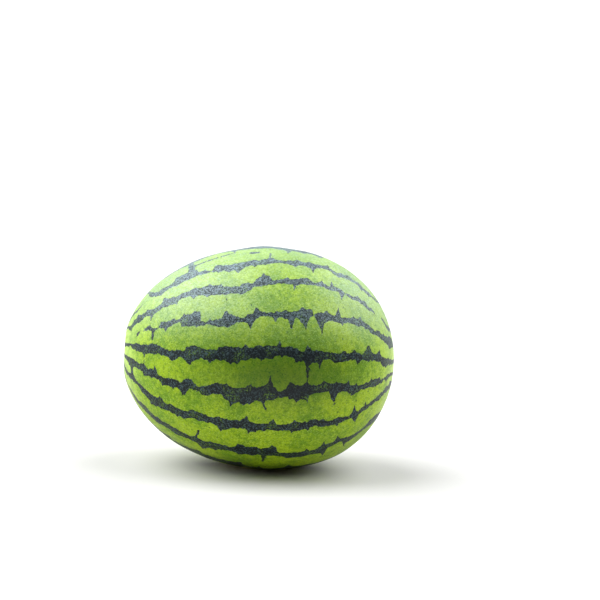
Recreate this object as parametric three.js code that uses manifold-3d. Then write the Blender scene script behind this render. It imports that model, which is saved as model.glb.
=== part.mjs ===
// A whole oval watermelon, lying on its side as it would on a table.
//
// Millimetres, +Z up. The fruit's own axis runs along X: the stem end points to -X and the
// fuller blossom end to +X. The origin is under the middle of the fruit, on the surface that
// it rests on. The fruit grew as one piece, so it is one closed solid.

import * as THREE from 'three';
import { mergeVertices } from 'three/addons/utils/BufferGeometryUtils.js';
import Module from 'manifold-3d';

const wasm = await Module();
wasm.setup();

// Overall size and outline
const LENGTH = 270;              // along the fruit's axis, end to end
const GIRTH_DIAMETER = 225;      // across the thickest place
const EGG = 0.075;               // how much fuller the blossom half is than the stem half
const BLUNTNESS = 0.054;         // how much fuller both ends are than an ellipse's

// Flat spot underneath, where the fruit lay on the field
const REST_SPOT_WIDTH = 42;

// Shallow hollow and corky scar where the stem broke away
const STEM_HOLLOW = { radius: 26, depth: 4.5 };
const STEM_SCAR = { radius: 8.5, height: 0.8 };

// The same at the other end, where the blossom dried off
const BLOSSOM_HOLLOW = { radius: 18, depth: 2.2 };
const BLOSSOM_SCAR = { radius: 4.5, height: 0.5 };

// Fineness of the surface
const SEGMENTS_AROUND = 48;
const CAP_ANGLE = THREE.MathUtils.degToRad(16);
const CAP_STEPS = 9;
const BODY_STEPS = 34;

const RIND = new THREE.MeshStandardMaterial({ color: 0x6f9a35, roughness: 0.42, metalness: 0 });

// Angles from the stem end (0) to the blossom end (PI), closer together over the two caps,
// where the hollows and the scars are.
function stationAngles() {
  const angles = [];
  for (let i = 0; i < CAP_STEPS; i++) {
    angles.push(CAP_ANGLE * i / CAP_STEPS);
  }
  for (let i = 0; i <= BODY_STEPS; i++) {
    angles.push(CAP_ANGLE + (Math.PI - 2 * CAP_ANGLE) * i / BODY_STEPS);
  }
  for (let i = CAP_STEPS - 1; i >= 0; i--) {
    angles.push(Math.PI - CAP_ANGLE * i / CAP_STEPS);
  }
  return angles;
}

// Radius of the plain egg at one station, before it is scaled to the girth.
function eggRadius(angle) {
  const along = -Math.cos(angle);
  return (1 + EGG * along + BLUNTNESS * along * along) * Math.sin(angle);
}

// How far the surface sinks towards the fruit's middle at one radius from the axis: a round
// hollow that levels out at its rim, less the raised scar in its centre.
function sink(radius, hollow, scar) {
  const inHollow = Math.max(0, 1 - (radius / hollow.radius) ** 2);
  const onScar = 1 - THREE.MathUtils.smoothstep(radius, scar.radius * 0.8, scar.radius * 1.2);
  return hollow.depth * inHollow ** 2 - scar.height * onScar;
}

// Half outline of the fruit, as (radius, place along the axis), from stem end to blossom end.
function outline() {
  const angles = stationAngles();
  const girthScale = GIRTH_DIAMETER / 2 / Math.max(...angles.map(eggRadius));
  const points = angles.map((angle) => {
    const radius = Math.abs(angle % Math.PI) < 1e-9 ? 0 : girthScale * eggRadius(angle);
    const along = -Math.cos(angle) * LENGTH / 2;
    const sunk = along < 0
      ? sink(radius, STEM_HOLLOW, STEM_SCAR)
      : -sink(radius, BLOSSOM_HOLLOW, BLOSSOM_SCAR);
    return new THREE.Vector2(radius, along + sunk);
  });
  return stretchToLength(points);
}

// The hollows shorten the fruit a little, so the outline is stretched back to its full length
// and centred on the origin.
function stretchToLength(points) {
  const places = points.map((point) => point.y);
  const low = Math.min(...places);
  const high = Math.max(...places);
  const stretch = LENGTH / (high - low);
  return points.map((point) => new THREE.Vector2(point.x, (point.y - (low + high) / 2) * stretch));
}

// A solid for cutting, from any closed three.js geometry.
function toSolid(geometry) {
  geometry.deleteAttribute('normal');
  geometry.deleteAttribute('uv');
  const welded = mergeVertices(geometry);
  const triangles = [];
  for (let i = 0; i < welded.index.count; i += 3) {
    const corners = [0, 1, 2].map((k) => welded.index.getX(i + k));
    if (new Set(corners).size === 3) {
      triangles.push(...corners);
    }
  }
  return new wasm.Manifold(new wasm.Mesh({
    numProp: 3,
    vertProperties: new Float32Array(welded.attributes.position.array),
    triVerts: new Uint32Array(triangles),
  }));
}

function toGeometry(solid) {
  const mesh = solid.getMesh();
  const geometry = new THREE.BufferGeometry();
  geometry.setAttribute('position', new THREE.BufferAttribute(mesh.vertProperties, 3));
  geometry.setIndex(new THREE.BufferAttribute(mesh.triVerts, 1));
  geometry.computeVertexNormals();
  return geometry;
}

// Height of the fruit's axis above the surface that it rests on.
function axisHeight() {
  const radius = GIRTH_DIAMETER / 2;
  return Math.sqrt(radius ** 2 - (REST_SPOT_WIDTH / 2) ** 2);
}

function watermelonGeometry() {
  const whole = new THREE.LatheGeometry(outline(), SEGMENTS_AROUND);
  whole.rotateZ(-Math.PI / 2);
  whole.translate(0, 0, axisHeight());

  const below = new THREE.BoxGeometry(LENGTH, GIRTH_DIAMETER, GIRTH_DIAMETER);
  below.translate(0, 0, -GIRTH_DIAMETER / 2);
  return toGeometry(toSolid(whole).subtract(toSolid(below)));
}

const watermelon = new THREE.Mesh(watermelonGeometry(), RIND);
watermelon.name = 'watermelon';

const group = new THREE.Group();
group.add(watermelon);

export default group;
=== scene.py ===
import math

import bpy
import numpy as np
from mathutils import Matrix, Vector


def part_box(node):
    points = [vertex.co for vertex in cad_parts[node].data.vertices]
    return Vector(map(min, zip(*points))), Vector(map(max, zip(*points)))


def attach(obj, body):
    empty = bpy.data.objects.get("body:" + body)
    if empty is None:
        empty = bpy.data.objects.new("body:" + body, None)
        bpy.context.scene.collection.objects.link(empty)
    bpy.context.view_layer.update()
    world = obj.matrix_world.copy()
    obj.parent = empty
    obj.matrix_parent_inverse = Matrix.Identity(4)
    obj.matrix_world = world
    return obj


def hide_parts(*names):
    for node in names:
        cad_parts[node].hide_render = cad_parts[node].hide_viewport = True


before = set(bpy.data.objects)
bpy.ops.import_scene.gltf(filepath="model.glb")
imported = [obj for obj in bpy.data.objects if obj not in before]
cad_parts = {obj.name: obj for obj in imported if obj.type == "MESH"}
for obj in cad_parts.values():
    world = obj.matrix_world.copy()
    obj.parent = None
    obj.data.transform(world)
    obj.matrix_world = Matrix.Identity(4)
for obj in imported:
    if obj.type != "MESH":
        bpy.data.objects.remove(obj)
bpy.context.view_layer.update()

# A whole watermelon on a pale studio floor. Blender's units are metres, and the fruit's axis
# runs along X, from the stem end (-X) to the blossom end (+X).
#
# Places on the rind are given by two angles in degrees:
#   station  0 at the stem end, 90 at mid length, 180 at the blossom end
#   turn     about the fruit's axis, 0 at the front (-Y), 90 on top, -90 underneath
# Distances in the rind's pattern are in millimetres.

MM = 0.001

# ---------------------------------------------------------------------------------------
# Shape of the fruit
# ---------------------------------------------------------------------------------------

EGG = 0.075                             # how much fuller the blossom half is than the stem half
BLUNTNESS = 0.054                       # how much fuller both ends are than an ellipse's
STEM_HOLLOW = (26.0, 4.5)               # radius and depth, mm
STEM_SCAR = (8.5, 0.8)                  # radius and height, mm
BLOSSOM_HOLLOW = (18.0, 2.2)
BLOSSOM_SCAR = (4.5, 0.5)
SCAR_EDGE = (0.8, 1.2)                  # where a scar's edge starts and ends, in its radii
REST_BLEND = 0.8                        # mm, over which the belly turns into the flat spot
UNDULATION = 0.28                       # mm, root mean square
UNDULATION_WAVELENGTHS = (26, 60)       # mm
UNDULATION_WAVES = 40
UNDULATION_START = (2, 30)              # mm from the axis, between which the unevenness grows
UNDULATION_SEED = 21

# Fineness of the mesh, and of the search for its thickest place
STATIONS = 416
TURNS = 232
GIRTH_SAMPLES = 2001

low, high = (Vector(corner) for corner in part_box("watermelon"))
half_length = (high.x - low.x) / 2 / MM
girth_radius = (high.y - low.y) / 2 / MM
axis_height = high.z / MM - girth_radius

station = np.linspace(0, 180, STATIONS + 1)[1:-1]
turn = np.linspace(-180, 180, TURNS, endpoint=False)


def egg_radius(angle):
    """Radius of the plain egg at a station, before it is scaled to the girth."""
    along = -np.cos(np.radians(angle))
    return (1 + EGG * along + BLUNTNESS * along**2) * np.sin(np.radians(angle))


def smoothstep(edge_low, edge_high, value):
    share = np.clip((value - edge_low) / (edge_high - edge_low), 0, 1)
    return share * share * (3 - 2 * share)


def sink(distance, hollow, scar):
    """How far the surface sinks towards the fruit's middle, at a distance from the axis."""
    hollow_radius, hollow_depth = hollow
    scar_radius, scar_height = scar
    inside = np.maximum(0, 1 - (distance / hollow_radius) ** 2)
    on_scar = 1 - smoothstep(scar_radius * SCAR_EDGE[0], scar_radius * SCAR_EDGE[1], distance)
    return hollow_depth * inside**2 - scar_height * on_scar


def meridian(radius):
    """Places along the axis of the stem pole, of every station and of the blossom pole. The
    hollows shorten the fruit a little, so they are stretched back to its full length."""
    angles = np.concatenate([[0.0], station, [180.0]])
    distance = np.concatenate([[0.0], radius, [0.0]])
    along = -np.cos(np.radians(angles)) * half_length
    sunk = np.where(
        along < 0,
        sink(distance, STEM_HOLLOW, STEM_SCAR),
        -sink(distance, BLOSSOM_HOLLOW, BLOSSOM_SCAR),
    )
    along = along + sunk
    middle = (along.min() + along.max()) / 2
    return (along - middle) * half_length / (along.max() - middle)


girth_scale = girth_radius / egg_radius(np.linspace(0, 180, GIRTH_SAMPLES)).max()
radius = girth_scale * egg_radius(station)
along = meridian(radius)

# Millimetres on the rind for one degree of station and for one degree of turn
steps = np.hypot(np.diff(along[1:-1]), np.diff(radius))
station_mm = np.gradient(np.concatenate([[0.0], np.cumsum(steps)]), station)
turn_mm = radius * math.radians(1)

# ---------------------------------------------------------------------------------------
# Stripes: each has an upper and a lower edge, as (station, turn) from end to end. An edge is
# pointed where it reaches out into the light rind and rounded where the rind pushes in.
# ---------------------------------------------------------------------------------------

LOBE_ROUNDNESS = 2.0
SCAR_MARGIN = (0.5, 5.0)                # mm from a scar, between which the stripes begin
SCAR_CLEARANCE = 8.0                    # mm taken off their depth at the scar itself
FINE_RADIUS = 50.0                      # mm from the axis, within which the edges grow finer
FINEST = 0.15                           # the finest edges' size as a share of the usual one

# The stripes in front, from the upper one down to the underside, then the rest that meet them
FRONT_STRIPES = [
    # just below the top; its stem end climbs over the top
    dict(
        upper=[
            (33, 92), (35, 84), (37, 74), (38.5, 68.5), (40, 65), (42, 62.8), (43.5, 64),
            (48, 62.6), (50, 64), (51, 68), (52, 70), (53.5, 68), (56, 68.5), (61, 67.5),
            (63.3, 63.3), (65, 64.2), (68, 61.8), (69.3, 66.3), (71, 66.2), (73.5, 64.3), (80, 64),
            (85.3, 66.5), (87.5, 65.3), (89, 66), (92, 68.3), (93.5, 68), (95, 65.8), (100, 67.2),
            (102, 67.4), (103.1, 69.8), (104.5, 68.2), (106.5, 67.3), (108.5, 69), (110.5, 67.7),
            (113, 68.3), (117, 71.3), (118.7, 68), (121, 67), (123, 68.8), (127, 70.8), (130, 70),
            (134, 70.6), (136, 68.5), (140, 70.2), (142, 69.5), (144, 71.5), (146, 74), (148, 80),
            (149.5, 88), (153, 93), (158, 96), (163, 101), (168, 103), (177, 104),
        ],
        lower=[
            (33, 84), (35, 72), (36, 66), (38, 61.5), (40, 58), (44, 56), (46, 58.5), (50, 59.5),
            (52, 56.8), (54, 59), (56, 59.8), (58, 59.3), (64, 60.3), (68, 60.2), (71, 58.7),
            (73, 59.4), (75.5, 57.6), (77, 58.6), (79.2, 55), (81, 58.5), (82.5, 60), (85, 60.3),
            (85.8, 58), (87, 60.7), (90, 60.8), (92.5, 62.3), (97, 63.5), (100, 63.2),
            (102.5, 61.4), (105.5, 64.1), (108.5, 63), (110, 57.8), (111, 63), (113, 64.7),
            (117, 65.7), (120, 62.9), (122.3, 62.5), (124, 64.8), (128, 65.5), (131.5, 66.2),
            (134.7, 62.2), (136, 65), (139.5, 62.5), (141.5, 65.5), (144, 67.7), (146, 69),
            (148, 72.5), (149.5, 80), (153, 84), (157, 84), (160, 91), (168, 93), (177, 95),
        ],
    ),
    dict(
        upper=[
            (8, 90), (14, 74), (16, 66), (18, 57), (20, 50), (22, 49.5), (24, 50.2), (26, 49.5),
            (27.6, 53.5), (29, 50), (33, 47.8), (35.5, 49.3), (37, 46.5), (39, 45.3), (43.5, 46.5),
            (45.5, 51.5), (47.5, 49.3), (50, 48), (56, 48.2), (61, 49.8), (65, 48.5), (67.3, 49.5),
            (71, 48), (72.3, 50), (73, 47), (75, 45.8), (80, 46), (80.8, 47.7), (85, 47.7),
            (86.5, 50), (88, 51.5), (89.3, 54), (91, 52.5), (92, 52), (93, 49.3), (95, 49.5),
            (99, 52.5), (100.5, 50.5), (104.3, 52.5), (107.3, 53.4), (109.5, 51.5), (111, 51.5),
            (113.7, 54.3), (115, 52), (117, 51.5), (118.3, 57.5), (119.3, 52.5), (123, 52.3),
            (125.5, 50.7), (129, 50.5), (131.8, 54.3), (133.5, 51.8), (136.5, 53.7), (138.5, 50.3),
            (141, 50.6), (144, 49),
        ],
        lower=[
            (8, 80), (14, 62), (16, 56), (18, 48), (20, 42.5), (21.3, 38), (22.5, 40.5), (24, 42),
            (30, 40.8), (34.5, 42), (36.5, 40.5), (38.3, 38.4), (40, 39.8), (42, 41), (45, 42.3),
            (51, 42), (52.8, 41), (53.5, 43.7), (56, 45), (58, 44.8), (60.5, 42), (63, 43.3),
            (66.8, 41), (68, 42), (70, 42.3), (71.5, 41.2), (73, 42), (74.8, 41.3), (76, 42),
            (79, 42.1), (80, 41), (81.3, 41), (82.5, 41.9), (84, 43), (87, 45.4), (88.5, 45.2),
            (93, 46.3), (98, 47.8), (101, 47.5), (101.8, 42.5), (102.5, 46.5), (104, 48),
            (106, 48.8), (114, 49.3), (121.5, 49.4), (122.8, 44), (123.7, 46.5), (125, 49.5),
            (128.3, 48.3), (131, 48.8), (136, 48), (139.5, 46.7), (141.5, 48.3), (144, 49),
        ],
    ),
    dict(
        upper=[
            (33.2, 29), (34, 30.3), (36, 30), (38, 31), (39, 28.8), (40, 27.2), (42, 27),
            (43.5, 28.3), (44.8, 31.3), (46, 30), (51.5, 30.3), (54.5, 30), (56.5, 33.3),
            (57.3, 31.8), (62, 33), (64, 32.2), (64.5, 27), (66.8, 25.8), (68.3, 28.5), (68.8, 27),
            (71, 26.6), (73, 27.2), (73.7, 30), (75, 31.5), (77, 29.5), (82.3, 27.2), (83.3, 29),
            (85, 29), (86.5, 33.2), (87.5, 32), (89, 30.8), (93.5, 30.2), (95, 31), (98.5, 32),
            (100.5, 31.3), (102.5, 31.8), (104.5, 33.8), (106, 34), (108, 33), (109.2, 33.5),
            (110, 31.2), (111.5, 32.5), (113.5, 33), (115.7, 34.8), (119, 32.8), (120.3, 34.5),
            (121.2, 39.7), (122, 35), (123, 33), (125, 33.2), (128.5, 35.5), (131.5, 35.2),
            (133.2, 38.8), (134.3, 35.2), (136, 34.8), (138.5, 35), (142, 32.9), (146.5, 35.3),
            (148, 34.8), (150.5, 35.5), (155, 37.5), (158, 44), (162, 50), (168, 56), (177, 58),
        ],
        lower=[
            (33.2, 28), (35, 27), (38.5, 26), (40, 20.5), (41.2, 25), (44.5, 26.3), (46, 26),
            (47.8, 22.3), (49.5, 25.5), (52, 27.5), (54.5, 27.3), (55.5, 25), (57, 24.2),
            (61, 24.3), (62.5, 23.3), (64, 24.3), (67, 24.4), (72.5, 22.8), (77, 23.3), (78.3, 24),
            (80, 25.3), (82.5, 25.5), (84, 23.5), (84.8, 21.7), (85.8, 24.5), (87.5, 27),
            (90, 28.7), (93, 28), (94.5, 24.9), (95.3, 27.5), (97, 28.3), (99, 28), (99.8, 26),
            (100.3, 24), (101.1, 22), (101.7, 25.5), (102.5, 28.5), (103.5, 28.7), (104.5, 26.3),
            (106.3, 24.3), (107, 21.3), (107.7, 27), (108.7, 29.5), (109.8, 30), (111, 29.5),
            (111.8, 26), (113, 24), (113.8, 20.6), (114.3, 25), (115.2, 27.5), (117, 29.2),
            (119, 29.5), (122, 29.2), (123.2, 27.6), (124, 29.8), (127.5, 30.9), (130, 31),
            (132, 30.2), (134, 31.2), (137, 30.8), (141.5, 29.2), (144, 29.7), (150, 29),
            (155, 28.2), (158, 27), (160, 28.5), (163, 33), (168, 42), (177, 46),
        ],
    ),
    # the main stripe across the front
    dict(
        upper=[
            (2, 70), (8, 50), (10, 40), (12, 32), (14, 27), (16, 24.5), (18, 22), (20, 20.3),
            (26, 17), (27.5, 17.5), (29, 16), (32, 15.2), (37.5, 14.2), (39.5, 15), (43, 14.3),
            (45, 13), (46.5, 11.5), (48.5, 10.3), (51, 9.9), (53.5, 10.7), (55, 10), (57.5, 10),
            (58.5, 12.3), (60, 12.8), (62.5, 12.8), (64.5, 12), (66, 11), (69, 10.8), (71, 11),
            (72.5, 12.3), (78, 12.5), (81, 12.6), (83.2, 14.1), (84.5, 12.5), (86.5, 12.8),
            (88.5, 13.8), (90, 13.2), (92, 13.8), (94, 13.6), (96.4, 14.9), (97.5, 13.3),
            (99.5, 13.4), (101, 14.2), (103, 13.5), (106, 12.1), (107.8, 15.8), (109, 13.8),
            (110.5, 12.2), (111.7, 13.6), (113, 12.2), (117, 12.5), (120.5, 11.8), (124.5, 13.7),
            (126, 12.8), (128, 13), (129.6, 15.1), (131, 14.7), (133, 13), (134.5, 13), (136, 15),
            (137.5, 18.8), (139.5, 19), (140.5, 15.5), (142, 14.5), (144.5, 15), (147, 19.5),
            (148.2, 16), (150, 13.8), (155, 13), (160, 13.2), (165, 14.5), (168, 18), (174, 28),
        ],
        lower=[
            (2, 56), (8, 32), (10, 25), (12, 20.5), (14, 19), (18, 17), (20, 16.5), (22, 15.5),
            (24, 12.5), (26, 10.3), (28.5, 8.8), (32.5, 8.7), (34, 7), (35, 3.7), (36, 6.5),
            (38, 7.2), (42, 7.3), (47.5, 6.3), (49.5, 6), (50.5, 4), (52, 3.3), (54, 5.2),
            (56, 6.3), (57.5, 5.5), (59, 3.5), (60.4, 1.8), (62, 4), (64, 5.5), (65.2, 6.4),
            (66.5, 5.7), (69.3, 4.2), (70, 5), (72, 5.8), (76.5, 5.3), (77.5, 4), (80.5, 4.7),
            (82, 6.5), (84, 6.8), (88, 7.8), (89.7, 6.8), (92, 7.8), (94, 7.5), (95, 8.8),
            (96.5, 9.5), (97.5, 8.5), (98.3, 9.4), (99.8, 9.6), (101, 8.8), (102, 8.8), (103, 6.8),
            (106.5, 7), (107.3, 5.2), (108, 3.7), (108.8, 5.7), (110, 6.4), (112, 7), (113, 5),
            (113.5, 2.6), (114, 7), (115, 8.3), (117, 8.8), (119.5, 7), (121.5, 7.3), (124, 8),
            (126, 9), (130.5, 9.7), (131.4, 8), (132, 5.9), (132.8, 8), (134, 9.3), (136, 9.8),
            (138.7, 8), (140, 9.8), (143, 9.9), (147.5, 9.2), (149, 7), (150, 5.5), (152, 5),
            (153, 4), (155, 5.2), (161, 6.3), (165, 7.5), (169, 9), (174, 14),
        ],
    ),
    dict(
        upper=[
            (3, 24), (8, 12), (12, 5), (14, 3), (18, 0.5), (24, -0.5), (27, -1), (29.5, -2),
            (31.5, -3.5), (33.5, -2.5), (35, -1.3), (36.5, -3.5), (38.5, -5.8), (41, -5.7),
            (42.5, -1.3), (43.3, -4), (44.5, -7), (47, -8.5), (50, -8.7), (53.2, -7.8),
            (55.5, -8.8), (59.5, -6.3), (61.5, -6.2), (63, -8.5), (65, -9.4), (67.5, -8.3),
            (70, -7.8), (71.5, -6), (77, -6.4), (79, -8), (83.5, -7.5), (84.5, -5.8), (86, -5.2),
            (88, -6.5), (91.5, -5.3), (92.8, -3.5), (93.4, 0.5), (94.3, -4.5), (95.5, -6.3),
            (97, -7.7), (99, -7.3), (100.5, -4.7), (101.3, -3), (103, -4.3), (105.5, -5),
            (107.5, -3.8), (108.3, -1.5), (109.3, -4.5), (112, -5.2), (114, -4), (115.5, -3),
            (117.5, -3.3), (120.3, -4.3), (121.3, -2.9), (123, -4.5), (127, -4.2), (127.5, -1.1),
            (128.5, -6), (130.5, -6.6), (132, -4.8), (133.5, -6.8), (136, -7), (138, -5.5),
            (140, -5.3), (141.5, -3.1), (145, -5.2), (148.2, -3.5), (149.5, -6.9), (151, -7.5),
            (156, -6), (161, -4.7), (163, -6), (166, -8.5), (172, -16),
        ],
        lower=[
            (3, 12), (8, 2), (12, -2), (14, -5), (17, -5.5), (19.5, -8), (21, -10.5), (23, -13),
            (24, -16), (25.5, -11), (27, -8.7), (29, -7.8), (30.5, -9.2), (33, -9.8),
            (35.5, -12.8), (37.5, -12), (40, -10.7), (44.5, -11.2), (46, -13), (47.5, -14.3),
            (49.5, -13), (51, -13), (52.7, -14.4), (55, -12.8), (56.5, -15), (57.5, -17.2),
            (59, -16.3), (60, -13), (61.5, -11.7), (65, -12), (66.3, -14), (68, -13.2),
            (69.5, -13.5), (71, -12), (74, -12), (75.5, -13.5), (77, -14.3), (78.4, -18),
            (79.5, -16), (81.5, -14.6), (83.7, -17), (84.8, -15), (86, -15.3), (87.5, -13.7),
            (90, -13), (91.3, -14.3), (92.2, -12.5), (95, -12.3), (97, -11), (100.5, -10.6),
            (101.3, -11.8), (102.5, -11), (104.3, -13.7), (106.5, -11.7), (108, -12.5),
            (109, -14.4), (109.7, -9.5), (111, -8.7), (114, -8.6), (116.5, -7.7), (118, -8.5),
            (119.3, -12.5), (120.8, -15), (121.5, -11.5), (122.5, -9.3), (126.5, -9), (128, -11),
            (129.5, -12.3), (131, -12.2), (133, -11), (138, -9.8), (140.5, -9.3), (142.5, -10.6),
            (148, -9.8), (150.5, -10.2), (152, -8.7), (154, -9.8), (155.5, -12.5), (157.5, -10),
            (162, -9.7), (164, -12), (167, -17), (172, -26),
        ],
    ),
    dict(
        upper=[
            (2, 2), (8, -12), (12, -18), (14, -21), (17, -24), (19, -24.5), (21, -23), (23, -20.5),
            (24.5, -18.5), (26, -19.5), (28, -21), (30, -23), (34.5, -24.3), (36, -26),
            (39, -26.8), (44.5, -26), (46, -24.5), (47.5, -25.5), (49.5, -28), (51.5, -26.5),
            (55.5, -27.5), (57, -26.7), (58.5, -27.5), (61, -26.7), (62.5, -25), (65, -24.7),
            (66.5, -26), (68, -25.5), (71, -26.3), (73.5, -25), (79, -25.8), (82, -25.3),
            (83.5, -24), (85.2, -22), (85.8, -24.5), (87.5, -25.8), (90.5, -26.2), (93.5, -25.8),
            (94.5, -24.2), (95.5, -21.9), (96.3, -24), (97.3, -25.8), (99, -26), (102, -25),
            (104, -23.2), (105.5, -24.5), (109.8, -24.8), (111, -23.4), (113.5, -24), (115, -25),
            (116, -24.3), (120, -26.3), (122, -26), (123.5, -24.8), (127, -25.7), (129, -25.7),
            (130.3, -24.5), (131.9, -19), (132.5, -22), (134, -24.3), (137.8, -23.8),
            (138.8, -18.9), (139.5, -23.5), (142, -23), (145, -21.8), (152, -20.8), (156, -19.5),
            (158, -21), (160, -22), (161.5, -18.5), (163, -19.5), (165, -22), (169, -34),
            (174, -50),
        ],
        lower=[
            (2, -14), (8, -24), (12, -28), (16, -32), (19, -31), (22, -29.5), (28, -28),
            (30.5, -27), (32.5, -28.5), (34, -31), (38, -32.2), (39.5, -33), (40.5, -36),
            (44, -34.8), (45.5, -33.5), (48, -34), (53.5, -32.3), (55.5, -34), (57, -33),
            (59, -33), (60, -31.5), (63, -30.5), (66, -31), (68, -30.3), (72, -30.2),
            (73.7, -31.2), (75, -34.9), (76, -32.5), (78, -31.3), (80, -30), (83, -29.7),
            (85.3, -30.3), (86.2, -34.3), (87, -31.5), (89, -31.5), (90, -30.3), (92.3, -30.5),
            (93.5, -29.3), (98.5, -29.6), (101, -28.9), (103.5, -30.8), (105.5, -29.5),
            (108.5, -29.4), (110.3, -30.5), (112, -28), (116, -28.7), (121.5, -28.9),
            (123.5, -30.3), (125.5, -28.8), (129, -27.8), (130.5, -28.3), (132, -31),
            (133.4, -33.8), (134.3, -30), (135, -27.3), (141, -26.5), (147, -25.7), (150, -27),
            (154, -25.7), (156, -26.5), (158.5, -28), (161, -31), (163, -35), (169, -48),
            (174, -62),
        ],
    ),
    dict(
        upper=[
            (3, -24), (12, -42), (20, -50), (24, -49), (31, -48.5), (33.5, -46), (38.5, -46),
            (42.5, -48.5), (44.5, -46.2), (47, -47), (51.3, -45.3), (53, -46.8), (55.5, -46),
            (60.5, -47.3), (62.5, -47), (63.8, -45.5), (64.8, -42), (65.4, -46), (68, -46.8),
            (71.5, -45), (77, -45), (79, -45.7), (81, -44.5), (82, -41.7), (86, -42.5),
            (90, -42.3), (91.5, -43), (94.8, -42), (95.5, -40.2), (97.8, -41), (98.3, -44.5),
            (100, -46), (102.5, -46.7), (105, -46), (108, -46.8), (110, -46), (110.7, -43.3),
            (111.5, -46), (112.5, -46.8), (116.5, -45), (117.3, -43.5), (118.1, -39.5),
            (119, -43.5), (121.5, -44.3), (123.5, -42.7), (124.7, -38.5), (125.6, -42),
            (127, -43.8), (131.5, -45), (137, -46), (140, -46.8), (142, -46.3), (143.5, -43),
            (146, -44.5), (149.5, -45), (151.5, -48.5), (153, -51), (155, -56), (157, -64),
            (162, -72), (170, -76), (177, -78),
        ],
        lower=[
            (3, -38), (12, -52), (22, -56), (29, -57.5), (33, -55), (42, -53.5), (44.5, -54.3),
            (49.5, -51), (52, -51), (56, -53), (60, -51), (64, -51.3), (65.5, -51.7),
            (66.5, -53.5), (67.7, -55.7), (69.3, -54.5), (70, -52), (73.3, -51.6), (75.5, -50),
            (80.5, -49), (83.3, -50.8), (85.5, -49.5), (88, -50), (91.8, -48.5), (92.6, -51),
            (93, -56.5), (93.6, -49.5), (95.5, -48.8), (98.5, -49), (102.5, -51.7), (109, -51.8),
            (113, -51), (117, -52), (118.6, -57.2), (119.5, -53), (120, -49), (122.5, -47.6),
            (126, -46.5), (127.5, -47), (128.2, -52), (129, -57), (130, -51.5), (135, -51),
            (138, -49.8), (140.5, -50.5), (143, -52), (147, -56), (151, -68), (162, -82),
            (170, -87), (177, -89),
        ],
    ),
    dict(
        upper=[
            (4, -48), (14, -62), (26, -68), (44, -68), (48, -67), (51.5, -64), (53, -68),
            (57, -69), (60, -66), (64, -64), (65.5, -61.5), (67, -63.5), (70, -64.5), (78, -64),
            (82, -63), (84.5, -61.5), (85.3, -66), (88, -67), (90.5, -65.5), (92, -63),
            (93.3, -66.5), (96, -68), (102, -66.5), (104, -61.5), (105, -64.5), (107, -66.5),
            (112, -67), (120, -68), (134, -70), (150, -76), (168, -86), (177, -90),
        ],
        lower=[
            (4, -60), (14, -71), (30, -74), (44, -75), (55, -73), (62, -76), (72, -72), (84, -74),
            (96, -76), (110, -73), (124, -75), (140, -79), (155, -84), (168, -93), (177, -98),
        ],
    ),
    # along the top
    dict(
        upper=[
            (4, 118), (20, 108), (36, 99), (50, 97), (62, 99), (76, 95), (90, 98), (104, 95),
            (112, 97), (130, 96), (146, 103), (160, 115), (177, 128),
        ],
        lower=[
            (4, 106), (20, 96), (36, 88), (46, 84.5), (50, 86), (56, 84), (59, 84), (62, 84.5),
            (75, 86.5), (76.5, 84), (77.5, 79.5), (79, 86), (85, 85), (88, 84), (92, 84.5),
            (96, 82.5), (98.7, 81), (99.5, 74.8), (100.7, 78.5), (102, 82.5), (105, 82.5),
            (107, 79.5), (108.5, 84), (111, 84), (113.5, 80.8), (115, 81.5), (116.2, 90),
            (124, 91), (128.5, 86), (131, 92), (146, 98), (160, 108), (177, 119),
        ],
    ),
    # short pieces beside the stripes near the top, and near the stem end
    dict(upper=[(59, 75.3), (67, 76.2), (73, 78.2), (78, 80)],
         lower=[(59, 73), (67, 74.2), (73, 76.2), (78, 79)]),
    dict(upper=[(82, 76), (85, 77.8), (87.7, 77)], lower=[(82, 75), (85, 74), (87.7, 75)]),
    dict(upper=[(14, 92), (18, 84), (23, 73), (26, 67), (31, 64.5)],
         lower=[(14, 82), (18, 72), (23, 65), (26, 61), (31, 62.5)]),
    dict(upper=[(28, 28.3), (29.3, 29.8), (30.3, 28.6)],
         lower=[(28, 26), (29.3, 26.3), (30.3, 27.8)]),
    dict(upper=[(149, 52.5), (154, 54), (158, 60), (161, 70), (167, 78), (177, 80)],
         lower=[(149, 51), (154, 48.5), (158, 50), (161, 58), (167, 68), (177, 72)]),
]

# Fine dark lines across the light rind: station and turn at one end and at the other, and width
VEINS = [
    (40.0, 22.0, 40.2, 14.5, 1.3),
    (38.4, 38.5, 38.2, 31.0, 0.7),
    (35.0, 4.5, 35.0, -2.0, 1.0),
    (108.1, 4.0, 108.4, -2.0, 1.5),
    (91.3, -14.0, 92.3, -17.8, 0.8),
    (65.0, -43.0, 66.0, -37.5, 0.9),
    (93.0, -50.0, 93.2, -57.0, 1.0),
    (24.6, -13.0, 24.8, -20.0, 3.0),
    (58.3, 68.0, 58.3, 85.0, 4.6),
    (59.2, 68.0, 59.8, 75.0, 3.5),
    (96.3, 14.5, 96.6, 16.5, 0.7),
    (92.2, 68.0, 92.3, 74.0, 1.8),
    (134.9, 63.0, 135.0, 60.5, 0.8),
    (85.2, 33.0, 84.6, 35.6, 0.7),
    (74.8, 42.0, 75.0, 36.0, 0.5),
    (121.0, -14.0, 121.2, -16.5, 0.9),
]

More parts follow.
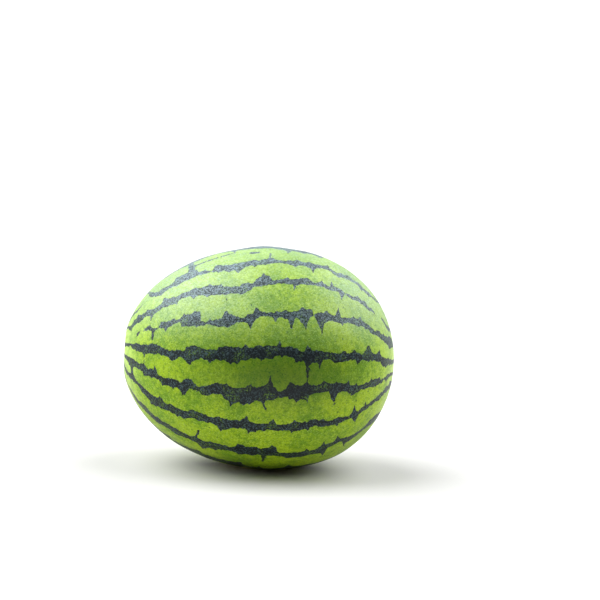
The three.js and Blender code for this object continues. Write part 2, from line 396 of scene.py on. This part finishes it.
# Generated stripes, for the side turned away. Their courses are the turn of a stripe's middle
# at the stem end, at mid length and at the blossom end.
HIDDEN_COURSES = [
    (124, 113, 138), (142, 131, 154), (160, 150, 170), (178, 167, 186), (196, 186, 200),
    (214, 203, 213), (232, 221, 226), (250, 240, 238), (266, 256, 250), (284, 272, 259),
]
HIDDEN_SEED = 7
HIDDEN_KNOTS = np.linspace(0, 180, 9)           # stations where course and width are set
COURSE_STATIONS = (0, 50, 130, 180)             # a course is straight in its middle part
COURSE_WANDER = 1.8                             # degrees of turn
HALF_WIDTHS = (2.2, 4.0)                        # degrees of turn
WIDTH_CHANGES = (0.6, 1.5)                      # along one stripe
REACH_CHANGES = (0.8, 1.2)                      # from one landmark to the next
LANDMARK_GAPS = (0.9, 3.6)                      # degrees of station
END_OF_STRIPES = 3.0                            # station of the first landmark
CUSP_LENGTHS = (0.5, 1.6, 3.2, 6.5)             # degrees of turn
CUSP_CHANCES = (0.35, 0.30, 0.22, 0.13)


def edge_at(points, outward):
    """Turn of a stripe's edge at every station. outward is 1 for an upper edge, -1 for a lower."""
    stops, turns = np.array(points, float).T
    turns = turns * outward
    before = np.clip(np.searchsorted(stops, station) - 1, 0, len(stops) - 2)
    start, end = turns[before], turns[before + 1]
    share = np.clip((station - stops[before]) / (stops[before + 1] - stops[before]), 0, 1)
    from_outer = np.where(end > start, 1 - share, share)
    inner = np.minimum(start, end)
    return outward * (inner + abs(end - start) * (1 - from_outer) ** LOBE_ROUNDNESS)


def nearest_way_round(angle):
    """The same angle, counted from -180 to 180."""
    return (angle + 180) % 360 - 180


def stripe_depth(stripe):
    """How deep every place lies inside a stripe, in mm: positive inside, negative outside."""
    upper = edge_at(stripe["upper"], 1)[:, None]
    lower = edge_at(stripe["lower"], -1)[:, None]
    middle = (upper + lower) / 2
    place = middle + nearest_way_round(turn[None, :] - middle)
    across = np.minimum(upper - place, place - lower) * turn_mm[:, None]
    first = max(stripe["upper"][0][0], stripe["lower"][0][0])
    last = min(stripe["upper"][-1][0], stripe["lower"][-1][0])
    lengthwise = np.minimum(station - first, last - station) * station_mm
    return np.minimum(across, lengthwise[:, None])


def vein_depth(vein):
    """The same for a fine line, which runs across the stripes."""
    station_a, turn_a, station_b, turn_b, width = vein
    share = np.clip((turn - turn_a) / (turn_b - turn_a), 0, 1)
    nearest = station_a + (station_b - station_a) * share
    beyond = nearest_way_round(turn - (turn_a + (turn_b - turn_a) * share))
    sideways = (station[:, None] - nearest[None, :]) * station_mm[:, None]
    lengthwise = beyond[None, :] * turn_mm[:, None]
    return width / 2 - np.hypot(sideways, lengthwise)


def hidden_stripe(rng, course):
    """A generated stripe, of the same habit as those in front."""
    line_at_knots = np.interp(HIDDEN_KNOTS, COURSE_STATIONS, np.take(course, (0, 1, 1, 2)))
    line_at_knots += rng.normal(0, COURSE_WANDER, len(HIDDEN_KNOTS))
    half_width = rng.uniform(*HALF_WIDTHS) * rng.uniform(*WIDTH_CHANGES, len(HIDDEN_KNOTS))
    edges = {}
    for name, outward in (("upper", 1), ("lower", -1)):
        points = []
        place = END_OF_STRIPES
        reaches_out = False
        while place < 180 - END_OF_STRIPES:
            line = np.interp(place, HIDDEN_KNOTS, line_at_knots)
            reach = np.interp(place, HIDDEN_KNOTS, half_width) * rng.uniform(*REACH_CHANGES)
            if reaches_out:
                reach += rng.choice(CUSP_LENGTHS, p=CUSP_CHANCES)
            points.append((place, line + outward * reach))
            reaches_out = not reaches_out
            place += rng.uniform(*LANDMARK_GAPS)
        edges[name] = points
    return edges


def pattern_depth():
    """How deep every place lies inside the nearest stripe or line. Near the ends everything
    runs together, so the depth counts for more there against the fixed raggedness of the
    edges, and the stripes stop just short of the scars."""
    rng = np.random.default_rng(HIDDEN_SEED)
    hidden = [hidden_stripe(rng, course) for course in HIDDEN_COURSES]
    depths = [stripe_depth(stripe) for stripe in FRONT_STRIPES + hidden]
    depths += [vein_depth(vein) for vein in VEINS]
    depth = np.max(depths, axis=0)
    depth /= np.clip(radius / FINE_RADIUS, FINEST, 1)[:, None]
    from_scar = radius - np.where(station < 90, STEM_SCAR[0], BLOSSOM_SCAR[0])
    at_scar = 1 - smoothstep(*SCAR_MARGIN, from_scar)
    return depth - (SCAR_CLEARANCE * at_scar)[:, None]


# ---------------------------------------------------------------------------------------
# Mesh
# ---------------------------------------------------------------------------------------

# Soft patches on the rind, whose centre and reach are each (station, turn)
PAINTED_SHADE_PATCH = dict(centre=(97, 1), reach=(33, 18))     # painted shade on the middle of the front
HIGHLIGHT_GAP_PATCH = dict(centre=(101, 43), reach=(24, 24))       # the gap between the two painted highlights, where they are weaker


def undulation(places):
    """Gentle unevenness of a grown fruit: a sum of random waves, in mm."""
    rng = np.random.default_rng(UNDULATION_SEED)
    total = np.zeros(len(places))
    for wavelength in rng.uniform(*UNDULATION_WAVELENGTHS, UNDULATION_WAVES):
        direction = rng.normal(size=3)
        direction /= np.linalg.norm(direction)
        phase = rng.uniform(0, 2 * np.pi)
        total += np.sin(places @ direction * 2 * np.pi / wavelength + phase)
    return total * UNDULATION * math.sqrt(2 / UNDULATION_WAVES)


def rest_on_floor(heights):
    """Flattens the belly softly onto the floor, so that its lowest places just touch it."""
    rounded = (heights + np.sqrt(heights**2 + REST_BLEND**2)) / 2
    return rounded - rounded.min()


def fruit_vertices():
    """Ring after ring from the stem end, then the two poles."""
    around = np.radians(turn)[None, :]
    x = np.broadcast_to(along[1:-1, None], (len(station), TURNS))
    y = -radius[:, None] * np.cos(around)
    z = axis_height + radius[:, None] * np.sin(around)
    rings = np.stack([x, y, z], -1).reshape(-1, 3)
    poles = np.array([[along[0], 0, axis_height], [along[-1], 0, axis_height]])
    places = np.concatenate([rings, poles])
    from_axis = np.hypot(places[:, 1], places[:, 2] - axis_height)
    swell = 1 + undulation(places) / girth_radius * smoothstep(*UNDULATION_START, from_axis)
    places[:, 1] *= swell
    places[:, 2] = axis_height + (places[:, 2] - axis_height) * swell
    places[:, 2] = rest_on_floor(places[:, 2])
    return places * MM


def fruit_faces():
    """Quads between the rings, and triangles from the rings at both ends to the poles."""
    ring = np.arange(TURNS)
    after = (ring + 1) % TURNS
    faces = []
    for i in range(len(station) - 1):
        a, b = i * TURNS, (i + 1) * TURNS
        faces += [(a + p, b + p, b + q, a + q) for p, q in zip(ring, after)]
    stem_pole = len(station) * TURNS
    last = (len(station) - 1) * TURNS
    faces += [(stem_pole, p, q) for p, q in zip(ring, after)]
    faces += [(stem_pole + 1, last + q, last + p) for p, q in zip(ring, after)]
    return [tuple(int(v) for v in face) for face in faces]


def soft_patch(centre, reach):
    """A soft oval patch, 1 in its middle and fading to 0 around it."""
    sideways = (station[:, None] - centre[0]) / reach[0]
    upwards = (turn[None, :] - centre[1]) / reach[1]
    return np.exp(-(sideways**2 + upwards**2))


def add_attribute(mesh, name, values):
    """Stores one number for every vertex; the two poles take the mean of the ring beside them."""
    poles = [values[0].mean(), values[-1].mean()]
    numbers = np.concatenate([values.ravel(), poles]).astype(np.float32)
    mesh.attributes.new(name, "FLOAT", "POINT").data.foreach_set("value", numbers)


mesh = bpy.data.meshes.new("watermelon_fruit")
mesh.from_pydata([tuple(v) for v in fruit_vertices()], [], fruit_faces())
mesh.shade_smooth()
add_attribute(mesh, "stripe_depth", pattern_depth())
# Painted shade on the middle of the front
add_attribute(mesh, "painted_shade", soft_patch(**PAINTED_SHADE_PATCH))
# Where the painted highlight and sheen are weaker, between their two bright areas
add_attribute(mesh, "highlight_gap", soft_patch(**HIGHLIGHT_GAP_PATCH))
fruit = bpy.data.objects.new("watermelon_fruit", mesh)
bpy.context.collection.objects.link(fruit)

# ---------------------------------------------------------------------------------------
# Rind material
# ---------------------------------------------------------------------------------------

# Fineness of the patterns, in cells or waves per mm
LOBES = 0.17
SMALL_LOBES = 0.42
SPECKS = 1.0
DOTS = 0.13

# Noises, as waves per mm, detail and roughness
GRAIN = (0.85, 3, 0.65)
MOTTLE = (0.20, 4, 0.66)
PATCHES = (0.030, 2, 0.5)
LACE_AREAS = (0.075, 2, 0.5)
LACE_MESH = (0.62, 2, 0.7)

# How far a pattern moves a stripe's edges: its middle value, and mm for each unit beside it
LOBE_PUSH = (0.43, 2.4)
SMALL_LOBE_PUSH = (0.46, 1.7)
GRAIN_PUSH = (0.5, 1.8)

# Colours, as linear red, green and blue
GREEN = (0.165, 0.315, 0.002)
YELLOW_GREEN = (0.390, 0.540, 0.008)
# Painted shade, laid on the middle of the front
PAINTED_SHADE_GREEN = (0.062, 0.132, 0.0005)
# Painted shade on the very top, which keeps the painted highlight to a band below it
TOP_PAINTED_SHADE_GREEN = (0.200, 0.340, 0.010)
PALE_SPECK = (0.600, 0.740, 0.160)
SPECK_SHADE = (0.50, 0.58, 0.20)
GRAIN_SHADE = (0.35, 0.45, 0.40)
DOT = (0.035, 0.100, 0.010)
BLACK_GREEN = (0.003, 0.007, 0.008)
SLATE = (0.055, 0.098, 0.108)
LACE = (0.130, 0.240, 0.020)
PALE_END = (0.560, 0.720, 0.260)
FIELD_YELLOW = (0.720, 0.660, 0.240)
# Painted highlight, paling the light rind above mid height
PAINTED_HIGHLIGHT_GREEN = (0.560, 0.680, 0.350)
# Painted sheen: a pale bluish veil over the upper half
PAINTED_SHEEN_BLUE = (0.62, 0.74, 0.83)
CORK_BROWN = (0.160, 0.110, 0.040)
CORK_TAN = (0.520, 0.430, 0.190)

# Ramps, as where they start and end, and their values there, which are 0 and 1 if left out.
# Heights, depths and distances are in mm.
EDGE_RAMP = (-0.35, 0.35)
TONE_RAMP = (0.36, 0.62)
PALE_SPECK_RAMP = (0.65, 1.0, 0.0, 0.32)
DARK_SPECK_RAMP = (0.0, 0.35, 0.60, 0.0)
DARK_GRAIN_RAMP = (0.34, 0.46, 0.75, 0.0)
DOT_RAMP = (0.06, 0.16, 1.0, 0.0)
DOT_CHANCE_RAMP = (0.35, 0.75, 0.0, 0.80)
SLATE_RAMP = (0.45, 1.0)
# Less slate grain inside the painted shade
SLATE_IN_PAINTED_SHADE_RAMP = (0.2, 1.0, 1.0, 0.25)
LACE_DEPTH_RAMP = (0.8, 2.6)
LACE_AREA_RAMP = (0.44, 0.60)
LACE_MESH_RAMP = (0.51, 0.61, 0.0, 0.75)
PALE_END_RAMP = (14, 70, 0.50, 0.0)
PALE_END_MOTTLE_RAMP = (0.35, 0.6, 0.6, 1.3)
FIELD_SPOT_RAMP = (0.5, 7.0, 0.85, 0.0)
# Painted sheen over the upper half, grainy with the specks
PAINTED_SHEEN_HEIGHT_RAMP = (118, 195, 0.0, 0.16)
PAINTED_SHEEN_SPECK_RAMP = (0.0, 1.0, 0.25, 1.75)
# Painted highlight on the light rind above mid height, weaker at the very top
PAINTED_HIGHLIGHT_HEIGHT_RAMP = (115, 185, 0.0, 0.28)
PAINTED_HIGHLIGHT_AT_TOP_RAMP = (195, 224, 1.0, 0.5)
# Painted shade on the very top
TOP_PAINTED_SHADE_RAMP = (195, 224, 0.0, 0.30)
SCAR_RAMP = (0.8, 2.2, 1.0, 0.0)
CORK_RAMP = (0.40, 0.62)
ROUGHNESS_RAMP = (0.35, 0.65, 0.38, 0.52)

# Weights in the sums and products below
PATCHES_IN_TONE = 0.45
MOTTLE_IN_TONE = 0.55
# Painted shade on the front's middle: how much it darkens the tone, and how much of its colour it
# lays on
PAINTED_SHADE_IN_TONE = 0.06
PAINTED_SHADE_SHARE = 0.80
FIELD_SPOT_UNEVENNESS = 14.0            # mm of height
STRIPES_ON_FIELD_SPOT = 0.75            # share that fades there
# How much the painted highlight and sheen weaken in the gap between the two highlights
HIGHLIGHT_GAP_SHARE = 0.75
# Painted sheen: how much stronger it is on the stripes, and how much of that they lose in the gap
PAINTED_SHEEN_ON_STRIPES = 1.5
PAINTED_SHEEN_LOST_IN_GAP = 0.7           # taken off it on the stripes in the gap between the painted highlights
SCAR_UNEVENNESS = 3.0                   # mm
SCAR_ROUGHNESS = 0.35                   # more than the rind's
GRAIN_BUMP = 0.6
MOTTLE_BUMP = 0.8
STRIPE_BUMP = 0.3
CORK_BUMP = 3.0
BUMP_STRENGTH = 0.6
BUMP_HEIGHT = 0.5 * MM
SKIN_IOR = 1.5
SKIN_SPECULAR = 0.38


class Nodes:
    """Short names for adding shader nodes and wiring them up."""

    def __init__(self, tree):
        tree.nodes.clear()
        self.tree = tree

    def add(self, kind, settings=None, **inputs):
        """A node. An underscore in the name of an input stands for a space."""
        node = self.tree.nodes.new(kind)
        for name, value in (settings or {}).items():
            setattr(node, name, value)
        for name, value in inputs.items():
            self.feed(node.inputs[name.replace("_", " ")], value)
        return node

    def feed(self, socket, value):
        """Gives a socket another socket's value, a colour or a number."""
        if isinstance(value, bpy.types.NodeSocket):
            self.tree.links.new(value, socket)
        elif isinstance(value, tuple):
            socket.default_value = (*value, 1)
        else:
            socket.default_value = value

    def math(self, operation, *values):
        node = self.add("ShaderNodeMath", {"operation": operation})
        for socket, value in zip(node.inputs, values):
            self.feed(socket, value)
        return node.outputs[0]

    def plus(self, first, second):
        return self.math("ADD", first, second)

    def minus(self, first, second):
        return self.math("SUBTRACT", first, second)

    def times(self, first, second):
        return self.math("MULTIPLY", first, second)

    def ramp(self, value, low, high, out_low=0.0, out_high=1.0):
        """Smooth step from out_low to out_high as the value goes from low to high."""
        node = self.add("ShaderNodeMapRange", {"interpolation_type": "SMOOTHSTEP"})
        for socket, number in zip(node.inputs, (value, low, high, out_low, out_high)):
            self.feed(socket, number)
        return node.outputs["Result"]

    def mix(self, share, first, second, blend="MIX"):
        node = self.add("ShaderNodeMix", {"data_type": "RGBA", "blend_type": blend})
        self.feed(node.inputs["Factor"], share)
        self.feed(node.inputs[6], first)
        self.feed(node.inputs[7], second)
        return node.outputs[2]


class RindNodes(Nodes):
    """The rind's shader. Its attributes are the places and patterns that its layers share."""

    def __init__(self, tree):
        super().__init__(tree)
        coordinates = self.add("ShaderNodeTexCoord").outputs["Object"]
        in_mm = self.add(
            "ShaderNodeVectorMath", {"operation": "SCALE"}, Vector=coordinates, Scale=1 / MM
        )
        self.place = in_mm.outputs[0]
        axes = self.add("ShaderNodeSeparateXYZ", Vector=self.place).outputs
        self.along = axes["X"]
        self.height = axes["Z"]
        sideways = self.math("POWER", axes["Y"], 2)
        upwards = self.math("POWER", self.minus(self.height, axis_height), 2)
        self.from_axis = self.math("SQRT", self.plus(sideways, upwards))

        self.grain = self.noise(*GRAIN)
        self.mottle = self.noise(*MOTTLE)
        self.patches = self.noise(*PATCHES)
        self.speck = self.cell_value(self.cells(SPECKS))
        # Painted shade on the middle of the front, 1 at its middle
        self.deep = self.attribute("painted_shade")
        # The gap between the two painted highlights, 1 at its middle
        self.highlight_gap = self.attribute("highlight_gap")
        self.depth = self.ragged_depth()
        self.field_spot = self.field_spot_share()
        self.stripe = self.stripe_share()
        self.on_scar = self.scar_share()

    def attribute(self, name):
        return self.add("ShaderNodeAttribute", {"attribute_name": name}).outputs["Fac"]

    def noise(self, scale, detail, roughness):
        node = self.add(
            "ShaderNodeTexNoise", Vector=self.place, Scale=scale, Detail=detail, Roughness=roughness
        )
        return node.outputs["Fac"]

    def cells(self, scale):
        return self.add("ShaderNodeTexVoronoi", Vector=self.place, Scale=scale)

    def cell_value(self, cells):
        """A random number from 0 to 1 for every cell."""
        return self.add("ShaderNodeSeparateColor", Color=cells.outputs["Color"]).outputs[0]

    def ragged_depth(self):
        """Depth inside the stripes, in mm. Cells turn their edges into small rounded lobes of
        light rind with dark cusps between them, and the grain frays them."""
        depth = self.attribute("stripe_depth")
        for pattern, (middle, push) in (
            (self.cells(LOBES).outputs["Distance"], LOBE_PUSH),
            (self.cells(SMALL_LOBES).outputs["Distance"], SMALL_LOBE_PUSH),
            (self.grain, GRAIN_PUSH),
        ):
            depth = self.plus(depth, self.times(self.minus(pattern, middle), push))
        return depth

    def field_spot_share(self):
        """Where the fruit lay on the field."""
        uneven = self.times(self.minus(self.patches, 0.5), FIELD_SPOT_UNEVENNESS)
        return self.ramp(self.plus(self.height, uneven), *FIELD_SPOT_RAMP)

    def stripe_share(self):
        """1 in the stripes and 0 outside. They fade on the field spot."""
        faded = self.times(self.field_spot, STRIPES_ON_FIELD_SPOT)
        return self.times(self.ramp(self.depth, *EDGE_RAMP), self.minus(1.0, faded))

    def scar_share(self):
        """1 on the corky scars, where the stem broke away and the blossom dried off."""
        at_stem = self.math("LESS_THAN", self.along, 0.0)
        scar_radius = self.times(at_stem, STEM_SCAR[0] - BLOSSOM_SCAR[0])
        scar_radius = self.plus(scar_radius, BLOSSOM_SCAR[0])
        uneven = self.times(self.grain, SCAR_UNEVENNESS)
        return self.ramp(self.plus(self.minus(self.from_axis, scar_radius), uneven), *SCAR_RAMP)

    def light_rind(self):
        """Yellow-green and deeper green patches, mottling, fine specks, a few dark dots and painted
        shade on the middle of the front.
        """
        tone = self.times(self.patches, PATCHES_IN_TONE)
        tone = self.plus(tone, self.times(self.mottle, MOTTLE_IN_TONE))
        # The painted shade darkens the tone a little
        tone = self.minus(tone, self.times(self.deep, PAINTED_SHADE_IN_TONE))
        pale_specks = self.ramp(self.speck, *PALE_SPECK_RAMP)
        dark_specks = self.ramp(self.speck, *DARK_SPECK_RAMP)
        dark_grain = self.ramp(self.grain, *DARK_GRAIN_RAMP)
        colour = self.mix(self.ramp(tone, *TONE_RAMP), GREEN, YELLOW_GREEN)
        colour = self.mix(pale_specks, colour, PALE_SPECK)
        # Painted shade laid on the middle of the front
        colour = self.mix(self.times(self.deep, PAINTED_SHADE_SHARE), colour, PAINTED_SHADE_GREEN)
        colour = self.mix(dark_specks, colour, SPECK_SHADE, "MULTIPLY")
        colour = self.mix(dark_grain, colour, GRAIN_SHADE, "MULTIPLY")
        dots = self.cells(DOTS)
        chance = self.ramp(self.cell_value(dots), *DOT_CHANCE_RAMP)
        dot = self.times(self.ramp(dots.outputs["Distance"], *DOT_RAMP), chance)
        return self.mix(dot, colour, DOT)

    def dark_rind(self):
        """Blackish green with a grain of slate, and a light lace deep inside the stripes."""
        slate = self.ramp(self.speck, *SLATE_RAMP)
        # Less slate inside the painted shade
        slate = self.times(slate, self.ramp(self.deep, *SLATE_IN_PAINTED_SHADE_RAMP))
        areas = self.ramp(self.noise(*LACE_AREAS), *LACE_AREA_RAMP)
        lace = self.times(self.ramp(self.depth, *LACE_DEPTH_RAMP), areas)
        lace = self.times(lace, self.ramp(self.noise(*LACE_MESH), *LACE_MESH_RAMP))
        return self.mix(lace, self.mix(slate, BLACK_GREEN, SLATE), LACE)

    def ends_spot_and_painted_light(self, light):
        """The light rind with its paler ends, its yellowish field spot, painted shade on its very
        top and a painted highlight that pales it above mid height, weaker on the painted shade of
        the front's middle and in the gap between the two painted highlights."""
        at_ends = self.ramp(self.from_axis, *PALE_END_RAMP)
        at_ends = self.times(at_ends, self.ramp(self.mottle, *PALE_END_MOTTLE_RAMP))
        light = self.mix(at_ends, light, PALE_END)
        light = self.mix(self.field_spot, light, FIELD_YELLOW)
        # Painted shade on the very top
        light = self.mix(self.ramp(self.height, *TOP_PAINTED_SHADE_RAMP), light, TOP_PAINTED_SHADE_GREEN)
        # Painted highlight above mid height, weaker on the painted shade and at the very top
        painted_highlight = self.times(self.ramp(self.height, *PAINTED_HIGHLIGHT_HEIGHT_RAMP), self.minus(1.0, self.deep))
        painted_highlight = self.times(painted_highlight, self.ramp(self.height, *PAINTED_HIGHLIGHT_AT_TOP_RAMP))
        return self.mix(self.times(painted_highlight, self.outside_highlight_gap()), light, PAINTED_HIGHLIGHT_GREEN)

    # Outside the gap between the two painted highlights
    def outside_highlight_gap(self):
        return self.minus(1.0, self.times(self.highlight_gap, HIGHLIGHT_GAP_SHARE))

    def painted_sheen(self):
        """Share of a bluish painted sheen over everything above mid height, grainy with the specks.
        It is stronger on the dark stripes and weaker in the gap between the painted highlights.
        """
        painted_sheen = self.ramp(self.height, *PAINTED_SHEEN_HEIGHT_RAMP)
        painted_sheen = self.times(painted_sheen, self.ramp(self.speck, *PAINTED_SHEEN_SPECK_RAMP))
        sheen_lost_in_gap = self.times(self.highlight_gap, PAINTED_SHEEN_LOST_IN_GAP)
        on_stripes = self.times(self.stripe, self.minus(PAINTED_SHEEN_ON_STRIPES, sheen_lost_in_gap))
        return self.times(painted_sheen, self.math("MAXIMUM", self.outside_highlight_gap(), on_stripes))

    def colour(self):
        colour = self.mix(self.stripe, self.ends_spot_and_painted_light(self.light_rind()), self.dark_rind())
        # Painted sheen over the upper half
        colour = self.mix(self.painted_sheen(), colour, PAINTED_SHEEN_BLUE)
        cork = self.mix(self.ramp(self.grain, *CORK_RAMP), CORK_BROWN, CORK_TAN)
        return self.mix(self.on_scar, colour, cork)

    def bump(self):
        """Normals of a finely pored skin, smoother on the stripes and rough on the scars."""
        pores = self.plus(self.times(self.grain, GRAIN_BUMP), self.times(self.mottle, MOTTLE_BUMP))
        pores = self.minus(pores, self.times(self.stripe, STRIPE_BUMP))
        cork = self.times(self.times(self.on_scar, self.grain), CORK_BUMP)
        node = self.add(
            "ShaderNodeBump",
            Strength=BUMP_STRENGTH,
            Distance=BUMP_HEIGHT,
            Height=self.plus(pores, cork),
        )
        return node.outputs[0]

    def roughness(self):
        on_scar = self.times(self.on_scar, SCAR_ROUGHNESS)
        return self.plus(self.ramp(self.grain, *ROUGHNESS_RAMP), on_scar)


def rind_material():
    material = bpy.data.materials.new("watermelon_rind")
    material.use_nodes = True
    rind = RindNodes(material.node_tree)
    surface = rind.add(
        "ShaderNodeBsdfPrincipled",
        Base_Color=rind.colour(),
        Roughness=rind.roughness(),
        IOR=SKIN_IOR,
        Normal=rind.bump(),
    )
    surface.inputs["Specular IOR Level"].default_value = SKIN_SPECULAR
    rind.add("ShaderNodeOutputMaterial", Surface=surface.outputs[0])
    return material


fruit.data.materials.append(rind_material())
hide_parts("watermelon")
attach(fruit, "root")

# ---------------------------------------------------------------------------------------
# Floor and light
# ---------------------------------------------------------------------------------------

FLOOR_SIZE = 60.0
FLOOR_COLOUR = (0.74, 0.68, 0.68)
FLOOR_ROUGHNESS = 0.9
SOFTBOX_COLOUR = (0.92, 1.0, 1.0)
BACKDROP_COLOUR = (1.0, 1.0, 1.0)

# The room's walls grow brighter from the camera's side to the far one: from and to in Y, and
# the brightness there
WALLS_RAMP = (0.2, 0.9, 0.01, 0.4)

# Name, azimuth and elevation, the angle that it fills (all in degrees) and strength. Azimuth 0
# is on the camera's side and 90 on the blossom end's.
SOFTBOXES = [
    ("left_softbox", 260, 52, 64, 2.60),
    ("low_left_softbox", 268, 27, 76, 1.7),
    ("right_softbox", 100, 52, 60, 2.1),
    ("low_right_softbox", 120, 26, 65, 0.9),
    ("back_softbox", 190, 35, 60, 0.3),
]


def floor():
    bpy.ops.mesh.primitive_plane_add(size=FLOOR_SIZE)
    plane = bpy.context.object
    plane.name = "studio_floor"
    material = bpy.data.materials.new("studio_paper")
    material.use_nodes = True
    surface = material.node_tree.nodes["Principled BSDF"]
    surface.inputs["Base Color"].default_value = (*FLOOR_COLOUR, 1)
    surface.inputs["Roughness"].default_value = FLOOR_ROUGHNESS
    surface.inputs["Specular IOR Level"].default_value = 0.0
    plane.data.materials.append(material)


def softbox(name, azimuth, elevation, width, strength):
    """A round softbox far away. A wider one is softer at the same strength."""
    azimuth = math.radians(azimuth)
    elevation = math.radians(elevation)
    towards = Vector((
        math.sin(azimuth) * math.cos(elevation),
        -math.cos(azimuth) * math.cos(elevation),
        math.sin(elevation),
    ))
    light = bpy.data.lights.new(name, "SUN")
    light.angle = math.radians(width)
    light.energy = strength
    light.color = SOFTBOX_COLOUR
    lamp = bpy.data.objects.new(name, light)
    lamp.rotation_euler = towards.to_track_quat("Z", "Y").to_euler()
    bpy.context.collection.objects.link(lamp)


def white_room():
    """Walls that light the fruit, and a white backdrop that only the camera sees."""
    world = bpy.data.worlds.new("white_room")
    bpy.context.scene.world = world
    world.use_nodes = True
    n = Nodes(world.node_tree)
    direction = n.add("ShaderNodeTexCoord").outputs["Generated"]
    backwards = n.add("ShaderNodeSeparateXYZ", Vector=direction).outputs["Y"]
    brightness = n.ramp(backwards, *WALLS_RAMP)
    walls = n.add("ShaderNodeBackground", Color=SOFTBOX_COLOUR, Strength=brightness)
    backdrop = n.add("ShaderNodeBackground", Color=BACKDROP_COLOUR, Strength=1.0)
    seen = n.add("ShaderNodeLightPath").outputs["Is Camera Ray"]
    mixed = n.add("ShaderNodeMixShader", Fac=seen)
    n.feed(mixed.inputs[1], walls.outputs[0])
    n.feed(mixed.inputs[2], backdrop.outputs[0])
    n.add("ShaderNodeOutputWorld", Surface=mixed.outputs[0])


floor()
white_room()
for values in SOFTBOXES:
    softbox(*values)

# ---------------------------------------------------------------------------------------
# Camera
# ---------------------------------------------------------------------------------------

CAMERA_ELEVATION = 8.0                  # degrees above the fruit's middle
CAMERA_SWING = 2.0                      # degrees towards the stem end
CAMERA_ROLL = 2.91                      # degrees
CAMERA_DISTANCE = 1.437                 # from the fruit's middle
CAMERA_LENS = 85.0                      # mm
SENSOR_WIDTH = 36.0                     # mm
AIM_RIGHT = 0.0411                      # how far right of the fruit's middle the camera aims
AIM_UP = 0.0583                         # and how far above it


def camera():
    middle = Vector((0, 0, axis_height * MM))
    elevation = math.radians(CAMERA_ELEVATION)
    swing = math.radians(CAMERA_SWING)
    roll = math.radians(CAMERA_ROLL)
    sight = Vector((
        math.sin(swing) * math.cos(elevation),
        math.cos(swing) * math.cos(elevation),
        -math.sin(elevation),
    ))
    level = Vector((math.cos(swing), -math.sin(swing), 0))
    upright = level.cross(sight)
    right = level * math.cos(roll) + upright * math.sin(roll)
    up = upright * math.cos(roll) - level * math.sin(roll)
    place = middle - sight * CAMERA_DISTANCE
    forward = (middle + right * AIM_RIGHT + up * AIM_UP - place).normalized()
    right = forward.cross(up).normalized()
    up = right.cross(forward)

    data = bpy.data.cameras.new("camera")
    data.lens = CAMERA_LENS
    data.sensor_width = SENSOR_WIDTH
    view = bpy.data.objects.new("camera", data)
    rotation = Matrix((right, up, -forward)).transposed()
    view.matrix_world = Matrix.Translation(place) @ rotation.to_4x4()
    bpy.context.collection.objects.link(view)
    bpy.context.scene.camera = view


camera()
bpy.context.scene.view_settings.view_transform = "Standard"
bpy.context.scene.view_settings.look = "Medium High Contrast"
